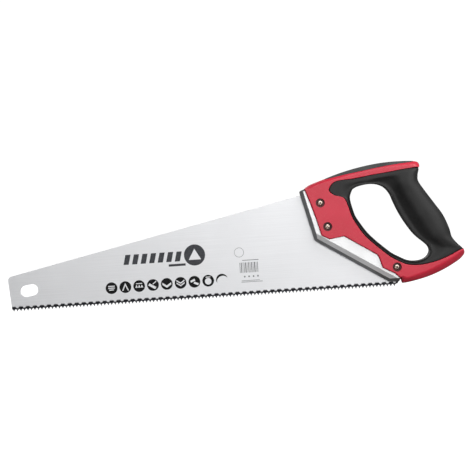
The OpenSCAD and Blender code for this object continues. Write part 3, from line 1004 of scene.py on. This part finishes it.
@dataclass
class HandleShell:
    """Hard red half of the handle, with its counterbores, pockets and strip seat."""

    plan: HandlePlan
    side: Side
    counterbore_radius: float = 4.7
    counterbore_depth: float = 4.8
    flange_half: float = 2.85
    bore_radius: float = 3.1
    tail_station: int = 12
    front_bevel: float = 0.8
    bevel_start: float = 11.6
    bevel_run: float = 1.4
    lower_steepness: float = 0.75
    lower_dome: float = 0.7
    front_softness: float = 0.5
    softness: float = 2.2
    border_softness: float = 0.45
    wear_reach: float = 7.0
    wear_most: float = 0.7
    rounds: int = 5

    def bevel(self, station: float) -> tuple[float, float, float]:
        """Return the rim bevel's width and depth at a station, and the dome beyond its edge."""
        plan = self.plan
        if station < self.tail_station:
            return self.front_bevel, self.front_bevel, 0.0
        if station < plan.lower_horn + 1:
            grow = min(1.0, (station - self.bevel_start) / self.bevel_run)
            depth = plan.lower_bevel * self.lower_steepness
            return plan.lower_bevel * grow, depth, self.lower_dome
        return plan.upper_bevel, plan.upper_bevel, 0.0

    def rim_part(self, station: float) -> list[tuple[Point, float]]:
        """Return the rim's part of the section as points of the plan with their heights."""
        plan = self.plan
        opening = smooth_point(plan.opening, station)
        border, rim = smooth_point(plan.border, station), plan.rim_at(station)
        length, seat = distance(border, rim), plan.cheek - plan.skin
        width, depth, dome = self.bevel(station)
        across = min(width, length * 0.7)
        soft = self.front_softness if station < self.tail_station else self.softness
        corners = [
            (0, seat, 0),
            (0, plan.cheek, self.border_softness),
            (length - across, plan.cheek, soft),
            (length - dome, plan.cheek - depth, soft),
            (length, 0, 0),
        ]
        points = [(towards(border, opening, plan.skin), seat)]
        points += [(towards(border, rim, d), h) for d, h in rounded(corners, self.rounds)]
        return points

    def ring(self, station: float, sections: SkinSections) -> Ring:
        """Return the whole section of the shell at a station."""
        plan = self.plan
        seat = sections.seat(station)
        ring = sections.ring(station, self.side, seat)
        count = 3 + 3 * (self.rounds + 1)
        if plan.wraps(station):
            opening = smooth_point(plan.opening, station)
            wall = towards(smooth_point(plan.border, station), opening, plan.skin)
            top = seat[-1][1]
            outer = [(wall, top * (count - 1 - k) / count) for k in range(count - 1)] + [(wall, 0)]
        else:
            outer = self.rim_part(station)
        return ring + [plan.place(p, h * self.side.value) for p, h in outer]

    def wear_edges(self, piece: bpy.types.Object) -> None:
        """Write where the rim is rubbed, as a value from 0 to 1 on the mesh's points."""
        plan = self.plan
        wear = piece.data.attributes.new("wear", "FLOAT", "POINT")
        rims = plan.flat([plan.rim_at(s / 2) for s in range(len(plan.rim) * 2)])
        ridge_height, ridge_width = (plan.cheek - 1.2) * MM, 2.4 * MM
        for vertex, value in zip(piece.data.vertices, wear.data):
            x, y, z = vertex.co
            near = min((x - a) ** 2 + (z - b) ** 2 for a, b in rims) ** 0.5
            ridge = 1 - min(1.0, abs(abs(y) - ridge_height) / ridge_width)
            edge = max(0.0, 1 - near / (self.wear_reach * MM))
            value.value = edge * ridge * self.wear_most

    def paint_hole_shade(self, piece: bpy.types.Object, finishes: Finishes) -> None:
        """Paint shade on the walls and floors of the counterbores with a dark copy of the red plastic."""
        piece.data.materials.append(finishes.red_hole_shade)
        centres = self.plan.flat(list(self.plan.screws.values()))
        reach = (self.counterbore_radius + 0.05) * MM
        low = (self.plan.cheek - self.counterbore_depth - 0.1) * MM
        high = (self.plan.cheek - 0.1) * MM
        for face in piece.data.polygons:
            x, y, z = face.center
            inside = any(math.hypot(x - a, z - b) < reach for a, b in centres)
            if inside and low < abs(y) < high:
                face.material_index = 1

    def build(self, finishes: Finishes) -> bpy.types.Object:
        """Model and dress the shell, and hand it over."""
        plan, sign = self.plan, self.side.value
        sections = SkinSections(plan)
        piece = Bench.loop_loft(
            f"shell_{self.side.label}",
            [self.ring(station, sections) for station in plan.stations()],
        )
        Bench.carve(piece, TopStrip(plan, self.side).solid("strip_seat", 1.0))
        flange = plan.flat(BolsterCheek.FLANGE)
        low, high = sorted((-1 * MM * sign, self.flange_half * MM * sign))
        Bench.carve(piece, Bench.plate("flange_pocket", flange, low, high))
        floor = plan.cheek - self.counterbore_depth
        for centre in plan.flat(list(plan.screws.values())):
            low, high = sorted((floor * MM * sign, (plan.cheek + 2) * MM * sign))
            cutter = Bench.disc("counterbore", centre, self.counterbore_radius * MM, low, high, 64)
            Bench.carve(piece, cutter)
            low, high = sorted((-1 * MM * sign, (floor + 1) * MM * sign))
            Bench.carve(piece, Bench.disc("bore", centre, self.bore_radius * MM, low, high, 40))
        self.wear_edges(piece)
        Bench.smooth(piece, 32)
        Bench.dress(piece, finishes.red)
        self.paint_hole_shade(piece, finishes)
        Bench.hand_over(piece, "red_plastic", f"handle_shell_{self.side.label}")
        return piece


@dataclass
class BolsterCheek:
    """Cast metal cheek with bevelled marking edges and a flange hidden under the shell."""

    plan: HandlePlan
    side: Side
    half: float = 8.0
    foot: float = 0.45
    edge: float = 2.6
    bevel: float = 3.6
    shoulder: float = 7.2
    shoulder_slope: float = 0.25
    gap: float = 0.15
    edge_softness: float = 0.7
    flange_top: float = 2.65
    bore_radius: float = 3.1
    # Faces that turn further than this from the blade's faces get the painted shade.
    shade_facing_limit: float = 0.82

    FLANGE = (
        (3, 7.5), (8, 13), (7, 25.5), (-4, 30.5), (-15, 36.2), (-50, 62), (-57.5, 73),
        (-57.5, 99), (-86, 100), (-80, 60), (-60, 50), (-20, 28),
    )
    OUTLINE = (
        (-94.4, 105.2), (-81.4, 52.9), (-7.5, 5.6), (3.6, 4.8), (4.6, 7.9), (-0.9, 13.6),
        (-13.2, 20.3), (-16.2, 30.5), (-17.9, 34), (-51.1, 55.5), (-66.2, 53.4),
        (-74.3, 57.7), (-78.5, 74.4), (-83.5, 90.8), (-89, 107),
    )
    ROUNDS = {0: 2.2, 1: 1.8, 3: 0.7}
    FREE_EDGES = 3

    def wedge(self, start: Point, end: Point, width: float, slope: float) -> bpy.types.Object:
        """Model the wedge that bevels an edge of the outline, with the metal on its left.

        Args:
            start: Start of the edge, in the handle's plan.
            end: End of the edge.
            width: Where the bevel meets the flat, from the edge.
            slope: Its depth for each millimetre of width.
        """
        length, past, beyond = distance(start, end), 12, 3
        along = ((end[0] - start[0]) / length, (end[1] - start[1]) / length)
        section = (
            (-beyond, self.half - (width + beyond) * slope),
            (width + beyond, self.half + beyond * slope),
            (-beyond, self.half + beyond * slope),
        )
        rings = [
            [
                self.plan.place(
                    (start[0] + along[0] * run - along[1] * inward,
                     start[1] + along[1] * run + along[0] * inward),
                    height * self.side.value,
                )
                for inward, height in section
            ]
            for run in (-past, length + past)
        ]
        return Bench.bar_loft("wedge", rings)

    def paint_edge_shade(self, piece: bpy.types.Object, finishes: Finishes) -> None:
        """Paint shade on the steep faces round the cheek: they get a darker copy of the cast metal, chosen
        by which way they face.
        """
        piece.data.materials.append(finishes.cast_painted_shade)
        for face in piece.data.polygons:
            if abs(face.normal.y) < self.shade_facing_limit:
                face.material_index = 1

    def build(self, finishes: Finishes) -> bpy.types.Object:
        """Model and dress the cheek, and hand it over."""
        plan, sign, edges = self.plan, self.side.value, self.OUTLINE
        steep = (self.half - self.edge) / self.bevel
        gaps = [0.0] * self.FREE_EDGES + [self.gap] * (len(edges) - self.FREE_EDGES)
        slim = inset_outline(list(edges), gaps)
        corners = [(*point, self.ROUNDS.get(i, 0)) for i, point in enumerate(slim)]
        outline = rounded([corners[-1], *corners, corners[0]], 6)[1:-1]
        low, high = sorted((self.foot * MM * sign, self.half * MM * sign))
        piece = Bench.plate(f"bolster_cheek_{self.side.label}", plan.flat(outline), low, high)
        for i in range(self.FREE_EDGES):
            Bench.carve(piece, self.wedge(edges[i], edges[i + 1], self.bevel, steep))
        Bench.carve(piece, self.wedge(edges[1], edges[2], self.shoulder, self.shoulder_slope))
        Bench.carve(piece, self.wedge(edges[-1], edges[0], self.bevel / 2, steep))
        Bench.tidy(piece, 0.02 * MM)
        Bench.soften(piece, self.edge_softness * MM, 4, 14)
        low, high = sorted((self.foot * MM * sign, self.flange_top * MM * sign))
        flange = Bench.plate("flange", plan.flat(self.FLANGE), low, high)
        Bench.carve(piece, flange, "UNION")
        reach = (self.half + 1) * MM
        for centre in plan.flat(list(plan.screws.values())):
            bore = Bench.disc("bore", centre, self.bore_radius * MM, -reach, reach, 40)
            Bench.carve(piece, bore)
        Bench.smooth(piece, 30)
        Bench.dress(piece, finishes.cast)
        self.paint_edge_shade(piece, finishes)
        Bench.hand_over(piece, "bolster_metal", f"bolster_{self.side.label}")
        return piece


# ---------------------------------------------------------------------------------------------
# Blade
# ---------------------------------------------------------------------------------------------


@dataclass
class Blade:
    """Tapered steel blade with set and ground teeth and a hang slot, in millimetres."""

    plan: HandlePlan
    edge_length: float = 400.0
    thickness: float = 0.9
    tooth_pitch: float = 3.64
    tooth_depth: float = 2.6
    tooth_set: float = 0.28
    toe_height: float = 36.0
    toe_lean: float = 2.5
    toe_radius: float = 4.0
    heel_height: float = 100.5
    slot_centre: Point = (19.0, 21.0)
    slot_size: Point = (18.5, 12.0)
    slot_angle: float = 8.0
    bore_radius: float = 3.1
    ridge: float = 0.22
    tip_gap: float = 0.8

    TANG = (
        (3, 5.2), (6.5, 13), (5.5, 24.5), (-4, 29.5), (-15, 34.5), (-50, 59.5), (-60, 71.5),
        (-60, 97), (-82, 98),
    )

    def point(self, x: float, z: float) -> Point:
        """Return a point, given from the first tooth's tip, as X and Z in metres."""
        return self.plan.heel_x + (x - self.edge_length) * MM, self.plan.tooth_line + z * MM

    def outline(self) -> list[Point]:
        """Return the plate's outline above the teeth, anticlockwise."""
        root = self.tooth_depth
        tang = [self.point(self.edge_length + x, z) for x, z in self.TANG]
        back_x = self.edge_length + BolsterCheek.OUTLINE[0][0]
        slope = (self.heel_height - self.toe_height) / (back_x + self.toe_lean)
        radius = self.toe_radius
        centre_x = radius - self.toe_lean
        centre_z = self.toe_height + slope * radius - radius * math.hypot(1, slope)
        start = math.pi / 2 + math.atan(slope)
        corner = [
            self.point(
                centre_x + radius * math.cos(lerp(start, math.pi, i / 10)),
                centre_z + radius * math.sin(lerp(start, math.pi, i / 10)),
            )
            for i in range(11)
        ]
        lean = self.toe_lean * root / self.toe_height
        return [
            self.point(-lean, root),
            self.point(self.edge_length + root * 0.58, root),
            *tang,
            self.point(back_x, self.heel_height),
            *corner,
        ]

    def slot_outline(self) -> list[Point]:
        """Return the hang slot's outline."""
        length, width = self.slot_size
        turn = math.radians(self.slot_angle)
        points = []
        for side, start in ((1, -90), (-1, 90)):
            for i in range(17):
                angle = math.radians(start + i * 180 / 16)
                x = side * (length - width) / 2 + width / 2 * math.cos(angle)
                z = width / 2 * math.sin(angle)
                points.append(
                    self.point(
                        self.slot_centre[0] + x * math.cos(turn) - z * math.sin(turn),
                        self.slot_centre[1] + x * math.sin(turn) + z * math.cos(turn),
                    )
                )
        return points

    def tooth(self, set_side: int) -> bpy.types.Object:
        """Model one tooth at the first place: a peg drawn to a ground point.

        The sections run from the plate down to the tip, each as (along, across, height). A ridge
        on the left face splits it into two facets, and the tip slopes up towards the far face.

        Args:
            set_side: Side that the tooth is bent to, 1 or -1.
        """
        half, root, pitch = self.thickness / 2, self.tooth_depth, self.pitch
        middle, ridge, tip_gap = pitch / 2, self.ridge, self.tip_gap
        near, far = -half, half
        bend = set_side * self.tooth_set
        rings = [
            [(0.03, near * 0.97, root + 0.5), (middle, near * 0.97, root + 0.5),
             (pitch - 0.03, near * 0.97, root + 0.5), (pitch - 0.03, far * 0.97, root + 0.5),
             (0.03, far * 0.97, root + 0.5)],
            [(0.0, near, root), (middle, near - 0.01, root), (pitch, near, root),
             (pitch - 0.3, far, root), (0.3, far, root)],
            [(middle * 0.62, near + bend * 0.4, root * 0.6),
             (middle, near + bend * 0.4 - ridge, root * 0.6),
             (pitch - middle * 0.62, near + bend * 0.4, root * 0.6),
             (pitch - middle * 0.75, far + bend * 0.4, root * 0.6),
             (middle * 0.75, far + bend * 0.4, root * 0.6)],
            [(middle - 0.06, near + bend, 0), (middle, near + bend - 0.03, 0),
             (middle + 0.06, near + bend, 0), (middle + 0.05, far + bend * 0.7, tip_gap),
             (middle - 0.05, far + bend * 0.7, tip_gap)],
        ]
        placed = [
            [(*self.point(x, z)[:1], y * MM, self.point(x, z)[1]) for x, y, z in ring]
            for ring in rings
        ]
        return Bench.bar_loft("tooth", placed)

    def dress_tooth(self, tooth: bpy.types.Object, set_side: int, finishes: Finishes) -> None:
        """Blacken a tooth, and leave the leading facets of those set away from the left bare."""
        tooth.data.materials.append(finishes.tooth)
        tooth.data.materials.append(finishes.facet)
        for face in tooth.data.polygons:
            leading = face.normal.x * face.normal.y > 0.02
            facing = face.normal.y * set_side < -0.3
            face.material_index = 1 if leading and facing else 0

    def teeth(self, finishes: Finishes) -> bpy.types.Object:
        """Model the left-set and right-set teeth and copy them along the edge."""
        count = round(self.edge_length / self.tooth_pitch)
        self.pitch = self.edge_length / count
        masters = [self.tooth(side) for side in (-1, 1)]
        for master, side in zip(masters, (-1, 1)):
            self.dress_tooth(master, side, finishes)
        row = []
        for i in range(count):
            master = masters[i % 2]
            copy = bpy.data.objects.new("tooth", master.data.copy())
            bpy.context.collection.objects.link(copy)
            copy.data.transform(Matrix.Translation((i * self.pitch * MM, 0, 0)))
            row.append(copy)
        for master in masters:
            bpy.data.objects.remove(master)
        return Bench.join("tooth_row", row)

    def build(self, finishes: Finishes) -> bpy.types.Object:
        """Model and dress the blade, and hand it over."""
        half = self.thickness / 2 * MM
        teeth = self.teeth(finishes)
        plate = Bench.plate("blade_plate", self.outline(), -half, half)
        cutter = Bench.plate("slot", self.slot_outline(), -half * 4, half * 4)
        Bench.carve(plate, cutter)
        for centre in self.plan.flat(list(self.plan.screws.values())):
            bore = Bench.disc("bore", centre, self.bore_radius * MM, -half * 4, half * 4, 40)
            Bench.carve(plate, bore)
        Bench.soften(plate, 0.1 * MM, 2, 60)
        Bench.smooth(plate, 40)
        Bench.dress(plate, finishes.steel)
        piece = Bench.join("blade_plate", [plate, teeth])
        Bench.hand_over(piece, "blade_steel", "blade")
        return piece


class Mark(Enum):
    """Generic symbols for the round marks."""

    LINES = "lines"
    TOOTH = "tooth"
    TEETH = "teeth"
    BOARD = "board"
    CHEVRON = "chevron"
    CHEVRONS = "chevrons"
    BLOCKS = "blocks"
    RING = "ring"
    HALF = "half"


@dataclass
class BladeMarks:
    """Printed marks on the left face: plain stripes, a disc and a row of round symbols."""

    blade: Blade
    layer: float = 0.02
    disc_radius: float = 6.1
    disc_step: float = 14.4
    first_disc: Point = (104.5, 17.7)
    last_disc_rise: float = 1.2
    slat_step: float = 8.9
    bar_widths: tuple[float, ...] = (
        0.5, 0.9, 0.4, 0.6, 1.1, 0.4, 0.8, 0.5, 0.9, 0.5, 1.1, 0.4, 0.6
    )
    bar_gap: float = 0.85

    def __post_init__(self) -> None:
        """Find the blade's left face."""
        self.face = -self.blade.thickness / 2

    def heights(self, level: int) -> tuple[float, float]:
        """Return the bottom and top of a printed layer, across the blade, in metres."""
        top = self.face - self.layer * level
        return top * MM, (self.face + 0.01) * MM

    def shape(self, points: list[Point], level: int = 1) -> bpy.types.Object:
        """Model a flat printed shape."""
        outline = [self.blade.point(x, z) for x, z in points]
        return Bench.plate("print", outline, *self.heights(level))

    def round(self, centre: Point, radius: float, level: int = 1) -> bpy.types.Object:
        """Model a printed disc."""
        return Bench.disc(
            "print", self.blade.point(*centre), radius * MM, *self.heights(level), sides=48
        )

    def ring(self, centre: Point, radius: float, width: float) -> list[bpy.types.Object]:
        """Model a printed ring from short bars."""
        sides = 32
        length = 2 * radius * math.tan(math.pi / sides)
        parts = []
        for i in range(sides):
            turn = 360 * i / sides
            c, s = math.cos(math.radians(turn)), math.sin(math.radians(turn))
            middle = (centre[0] + radius * c, centre[1] + radius * s)
            parts.append(self.bar(middle, (length, width), turn + 90))
        return parts

    def bar(
        self, centre: Point, size: Point, turn: float = 0.0, slant: float = 0.0, level: int = 1
    ) -> bpy.types.Object:
        """Model a printed bar.

        Args:
            centre: Middle of the bar.
            size: Its length and height.
            turn: Its angle, in degrees.
            slant: How far its top leans to the right.
            level: The layer that it lies on.
        """
        c, s = math.cos(math.radians(turn)), math.sin(math.radians(turn))
        points = []
        for x, z in ((-1, -1), (1, -1), (1, 1), (-1, 1)):
            across = x * size[0] / 2 + z * slant / 2
            up = z * size[1] / 2
            points.append((centre[0] + across * c - up * s, centre[1] + across * s + up * c))
        return self.shape(points, level)

    def symbol(self, mark: Mark, centre: Point) -> list[bpy.types.Object]:
        """Model a round mark's pale symbol."""
        x, z = centre
        up = 2

        def wedge(points: list[Point]) -> bpy.types.Object:
            return self.shape([(x + a, z + b) for a, b in points], up)

        shapes = {
            Mark.LINES: lambda: [
                self.bar((x, z + h), (w, 1.1), level=up) for h, w in ((1.9, 7), (0, 7), (-1.9, 5))
            ],
            Mark.TOOTH: lambda: [
                wedge([(-3.6, -3.6), (-2.2, -3.6), (0, 1.6), (0, 4.4)]),
                wedge([(3.6, -3.6), (0, 4.4), (0, 1.6), (2.2, -3.6)]),
            ],
            Mark.TEETH: lambda: [
                wedge([(-4.2 + i * 2.8, -1.6), (-1.4 + i * 2.8, -1.6), (-2.8 + i * 2.8, 1.4)])
                for i in range(3)
            ] + [self.bar((x, z + 2.6), (6.4, 0.9), level=up)],
            Mark.BOARD: lambda: [
                self.bar((x - 0.8, z - 1.2), (8.2, 2.6), -32, level=up),
                self.bar((x + 1.8, z + 2.4), (4.6, 0.9), 38, level=up),
            ],
            Mark.CHEVRON: lambda: [
                wedge([(0, -4), (4.6, -0.8), (4.6, 1.6), (0, -1.6)]),
                wedge([(0, -4), (0, -1.6), (-4.6, 1.6), (-4.6, -0.8)]),
            ],
            Mark.CHEVRONS: lambda: [
                wedge([(0, -3.6 + h), (4.2, -0.8 + h), (4.2, 0.6 + h), (0, -2.2 + h)])
                for h in (0, 2.6)
            ] + [
                wedge([(0, -3.6 + h), (0, -2.2 + h), (-4.2, 0.6 + h), (-4.2, -0.8 + h)])
                for h in (0, 2.6)
            ],
            Mark.BLOCKS: lambda: [
                self.bar((x - 1.6, z + 1.2), (5, 2.2), 25, level=up),
                self.bar((x + 1.8, z - 1.8), (5, 2.2), -25, level=up),
            ],
            Mark.RING: lambda: [
                self.round((x, z - 0.6), 3.4, up),
                self.bar((x, z + 3.8), (4.8, 0.9), level=up),
            ],
            Mark.HALF: lambda: [self.round((x + 0.9, z - 2.2), 6.2, up)],
        }
        return shapes[mark]()

    def finish(
        self, name: str, parts: list[bpy.types.Object], ink: bpy.types.Material
    ) -> bpy.types.Object:
        """Join printed shapes into one piece and hand it over."""
        piece = Bench.join(name, parts)
        Bench.dress(piece, ink)
        Bench.hand_over(piece, "blade_steel")
        return piece

    def emblem(self) -> tuple[list[bpy.types.Object], list[bpy.types.Object]]:
        """Model the slanting slats, the line under them and the disc with its bare triangle."""
        slats = [
            self.bar((122.5 + i * self.slat_step, 46), (5.4, 10.2), slant=2.6) for i in range(7)
        ]
        slats.append(self.bar((174.2, 37.2), (17.6, 2.4)))
        disc = self.round((192.9, 46.4), 11)
        return [*slats, disc], [self.shape([(186.5, 41.5), (199.5, 41.5), (193, 53)], 2)]

    def disc_row(self) -> tuple[list[bpy.types.Object], list[bpy.types.Object]]:
        """Model the row of discs and the bare symbols on them."""
        discs, symbols = [], []
        marks = list(Mark)
        for i, mark in enumerate(marks):
            rise = self.last_disc_rise * i / (len(marks) - 1)
            centre = (self.first_disc[0] + i * self.disc_step, self.first_disc[1] + rise)
            discs.append(self.round(centre, self.disc_radius))
            symbols += self.symbol(mark, centre)
        return discs, symbols

    def fine_block(self) -> list[bpy.types.Object]:
        """Model the block of fine bars, lines and dots, and the thin ring above it."""
        fine, x = [], 239.0
        for width in self.bar_widths:
            fine.append(self.bar((x + width / 2, 29.8), (width, 10.6)))
            x += width + self.bar_gap
        fine += [
            self.bar((250.5, 37.4), (17, 0.7)),
            self.bar((250.8, 14.8), (22, 0.5)),
            self.bar((249.5, 16.2), (19, 0.5)),
        ]
        fine += [self.round((243.5 + i * 4.6, 20.4), 0.9) for i in range(4)]
        return fine + self.ring((239.2, 45.9), 4.8, 0.4)

    def build(self, finishes: Finishes) -> None:
        """Model and dress all printed marks."""
        grey, triangle = self.emblem()
        discs, symbols = self.disc_row()
        self.finish("marks_grey", grey, finishes.grey_ink)
        self.finish("marks_black", discs, finishes.black_ink)
        self.finish("marks_bare", [*symbols, *triangle], finishes.steel)
        self.finish("marks_fine", self.fine_block(), finishes.pale_ink)


# ---------------------------------------------------------------------------------------------
# Fasteners
# ---------------------------------------------------------------------------------------------


@dataclass
class Fastener:
    """A cross-head screw from the left and its sleeve nut from the right, in millimetres."""

    plan: HandlePlan
    label: str
    head_radius: float = 3.1
    head_height: float = 2.0
    shank_radius: float = 2.0
    barrel_radius: float = 3.0
    floor: float = 5.7
    bore_radius: float = 2.05
    recess_depth: float = 1.4
    recess_bottom: Point = (0.9, 0.3)
    recess_mouth: Point = (2.15, 0.62)
    recess_span: float = 1.9

    def turned(self, name: str, profile: list[Point], sign: int) -> bpy.types.Object:
        """Spin a profile of (radius, height) round the screw's axis into a closed solid."""
        x, z = self.plan.flat([self.plan.screws[self.label]])[0]
        sides = 48
        rings = []
        for radius, height in profile:
            rings.append(
                [
                    (
                        x + radius * MM * math.cos(2 * math.pi * i / sides),
                        height * MM * sign,
                        z + radius * MM * math.sin(2 * math.pi * i / sides),
                    )
                    for i in range(sides)
                ]
            )
        return Bench.bar_loft(name, rings)

    def head_profile(self) -> list[Point]:
        """Return a low domed head's outer profile, from its seat to its top."""
        radius, floor, top = self.head_radius, self.floor, self.floor + self.head_height
        return [
            (radius - 0.15, floor), (radius, floor + 0.15), (radius, top - 1.0),
            (radius - 0.12, top - 0.7), (radius - 0.45, top - 0.35), (radius - 1.0, top - 0.1),
            (radius - 1.7, top),
        ]

    def recess(self, piece: bpy.types.Object, sign: int) -> None:
        """Cut a tapered cross recess into a head."""
        x, z = self.plan.flat([self.plan.screws[self.label]])[0]
        top = self.floor + self.head_height
        for turn in (45, 135):
            c, s = math.cos(math.radians(turn)), math.sin(math.radians(turn))
            rings = []
            levels = ((top - self.recess_depth, *self.recess_bottom), (top + 0.5, *self.recess_mouth))
            for height, reach, half in levels:
                rings.append(
                    [
                        (x + (a * reach * c - b * half * s) * MM, height * MM * sign,
                         z + (a * reach * s + b * half * c) * MM)
                        for a, b in ((-1, -1), (1, -1), (1, 1), (-1, 1))
                    ]
                )
            Bench.carve(piece, Bench.bar_loft("recess", rings))

    def paint_recess_shade(self, piece: bpy.types.Object, centre: Point, finishes: Finishes) -> None:
        """Paint shade on the walls and floor of the cross recess with a dark copy of the plating."""
        piece.data.materials.append(finishes.recess)
        top = (self.floor + self.head_height) * MM
        for face in piece.data.polygons:
            x, y, z = face.center
            near = math.hypot(x - centre[0], z - centre[1]) < self.recess_span * MM
            deep = top - (self.recess_depth + 0.1) * MM < abs(y) < top - 0.12 * MM
            if near and deep:
                face.material_index = 1

    def build(self, finishes: Finishes) -> None:
        """Model and dress the screw and its nut, and hand them over."""
        shank_end = -(self.floor - 0.6)
        screw = self.turned(
            f"cross_screw_{self.label}",
            [(self.shank_radius - 0.4, shank_end), (self.shank_radius, shank_end + 0.4),
             (self.shank_radius, self.floor), *self.head_profile()],
            -1,
        )
        self.recess(screw, -1)
        nut = self.turned(
            f"sleeve_nut_{self.label}",
            [(self.barrel_radius - 0.2, -2.5), (self.barrel_radius, -2.3),
             (self.barrel_radius, self.floor), *self.head_profile()],
            1,
        )
        x, z = self.plan.flat([self.plan.screws[self.label]])[0]
        bore = Bench.disc("thread", (x, z), self.bore_radius * MM, -4 * MM, self.floor * MM, 40)
        Bench.carve(nut, bore)
        self.recess(nut, 1)
        for piece, node in ((screw, f"screw_{self.label}"), (nut, f"nut_{self.label}")):
            Bench.smooth(piece, 32)
            Bench.dress(piece, finishes.plating)
            self.paint_recess_shade(piece, (x, z), finishes)
            Bench.hand_over(piece, "screw_metal", node)


# ---------------------------------------------------------------------------------------------
# Studio
# ---------------------------------------------------------------------------------------------


@dataclass(frozen=True)
class Panel:
    """A soft light panel; a glow of 1 looks white."""

    name: str
    place: Place
    aim: Place
    size: Point
    glow: float

    def hang(self) -> None:
        """Hang the panel, facing its aim."""
        data = bpy.data.lights.new(self.name, "AREA")
        data.shape = "RECTANGLE"
        data.size, data.size_y = self.size
        data.energy = self.glow * math.pi * self.size[0] * self.size[1]
        light = bpy.data.objects.new(self.name, data)
        light.location = self.place
        facing = Vector(self.aim) - Vector(self.place)
        light.rotation_euler = facing.to_track_quat("-Z", "Y").to_euler()
        bpy.context.collection.objects.link(light)


@dataclass
class Studio:
    """Plain pale floor, soft light and the camera."""

    PANELS = (
        Panel("front_panel", (0.75, -2.4, 0.95), (0.15, 0, 0.3), (2.4, 1.9), 2.7),
        Panel("key_panel", (1.0, -0.75, 1.4), (0.1, 0, 0.05), (0.6, 0.6), 16.0),
        Panel("back_panel", (-0.5, 2.2, 1.2), (0, 0, 0.2), (2.2, 1.6), 1.4),
    )

    lens: float = 135.0
    view_width: float = 0.489
    roll: float = 3.85
    aim_side: float = 0.001
    aim_height: float = 0.0643
    floor_drop: float = 0.0005
    floor_glow: float = 1.0
    surround_glow: float = 1.05
    surround_light: float = 0.20

    @staticmethod
    def for_eye(tree: bpy.types.NodeTree, seen: float, cast: float) -> bpy.types.NodeSocket:
        """Return one strength for what the camera sees and another for what lights the saw.

        Args:
            tree: The node tree to add to.
            seen: Strength that the camera sees.
            cast: Strength for all other rays.
        """
        path = tree.nodes.new("ShaderNodeLightPath")
        level = tree.nodes.new("ShaderNodeMapRange")
        level.inputs["To Min"].default_value = cast
        level.inputs["To Max"].default_value = seen
        tree.links.new(path.outputs["Is Camera Ray"], level.inputs["Value"])
        return level.outputs["Result"]

    def floor(self) -> None:
        """Lay a wide pale floor under the teeth."""
        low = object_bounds()[0]
        Bench.clear()
        bpy.ops.mesh.primitive_plane_add(size=40, location=(0, 0, low[2] - self.floor_drop))
        floor = Bench.named("floor")
        material = bpy.data.materials.new("pale_floor")
        material.use_nodes = True
        tree = material.node_tree
        shader = tree.nodes["Principled BSDF"]
        shader.inputs["Base Color"].default_value = (0.3, 0.3, 0.3, 1)
        shader.inputs["Roughness"].default_value = 0.9
        shader.inputs["Specular IOR Level"].default_value = 0.0
        shader.inputs["Emission Color"].default_value = (1, 1, 1, 1)
        tree.links.new(self.for_eye(tree, self.floor_glow, 0.0), shader.inputs["Emission Strength"])
        floor.data.materials.append(material)
        floor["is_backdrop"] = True

    def world(self) -> None:
        """Make a white surround for the eye that lights the saw only a little."""
        world = bpy.data.worlds.new("studio")
        bpy.context.scene.world = world
        world.use_nodes = True
        tree = world.node_tree
        surround = tree.nodes["Background"]
        surround.inputs["Color"].default_value = (1, 1, 1, 1)
        glow = self.for_eye(tree, self.surround_glow, self.surround_light)
        tree.links.new(glow, surround.inputs["Strength"])

    def camera(self) -> None:
        """Set the camera square to the blade, rolled a little."""
        data = bpy.data.cameras.new("camera")
        data.lens = self.lens
        camera = bpy.data.objects.new("camera", data)
        low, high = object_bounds()
        away = self.view_width * self.lens / data.sensor_width
        middle = (low[0] + high[0]) / 2
        camera.location = (middle + self.aim_side, -away, self.aim_height)
        camera.rotation_euler = (math.pi / 2, math.radians(self.roll), 0)
        bpy.context.collection.objects.link(camera)
        bpy.context.scene.camera = camera

    def build(self) -> None:
        """Set up the studio."""
        self.floor()
        self.world()
        for panel in self.PANELS:
            panel.hang()
        self.camera()
        bpy.context.scene.view_settings.view_transform = "Standard"


def main() -> None:
    """Build the saw piece by piece, then the studio."""
    logging.basicConfig(level=logging.INFO, format="%(name)s: %(message)s")
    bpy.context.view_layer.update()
    finishes = Finishes()
    plan = HandlePlan()
    blade = Blade(plan)
    blade.build(finishes)
    BladeMarks(blade).build(finishes)
    for side in Side:
        BolsterCheek(plan, side).build(finishes)
        HandleShell(plan, side).build(finishes)
        SoftSkin(plan, side).build(finishes)
        TopStrip(plan, side).build(finishes)
    for label in plan.screws:
        Fastener(plan, label).build(finishes)
    Studio().build()
    Bench.clear()


if __name__ == "__main__":
    main()
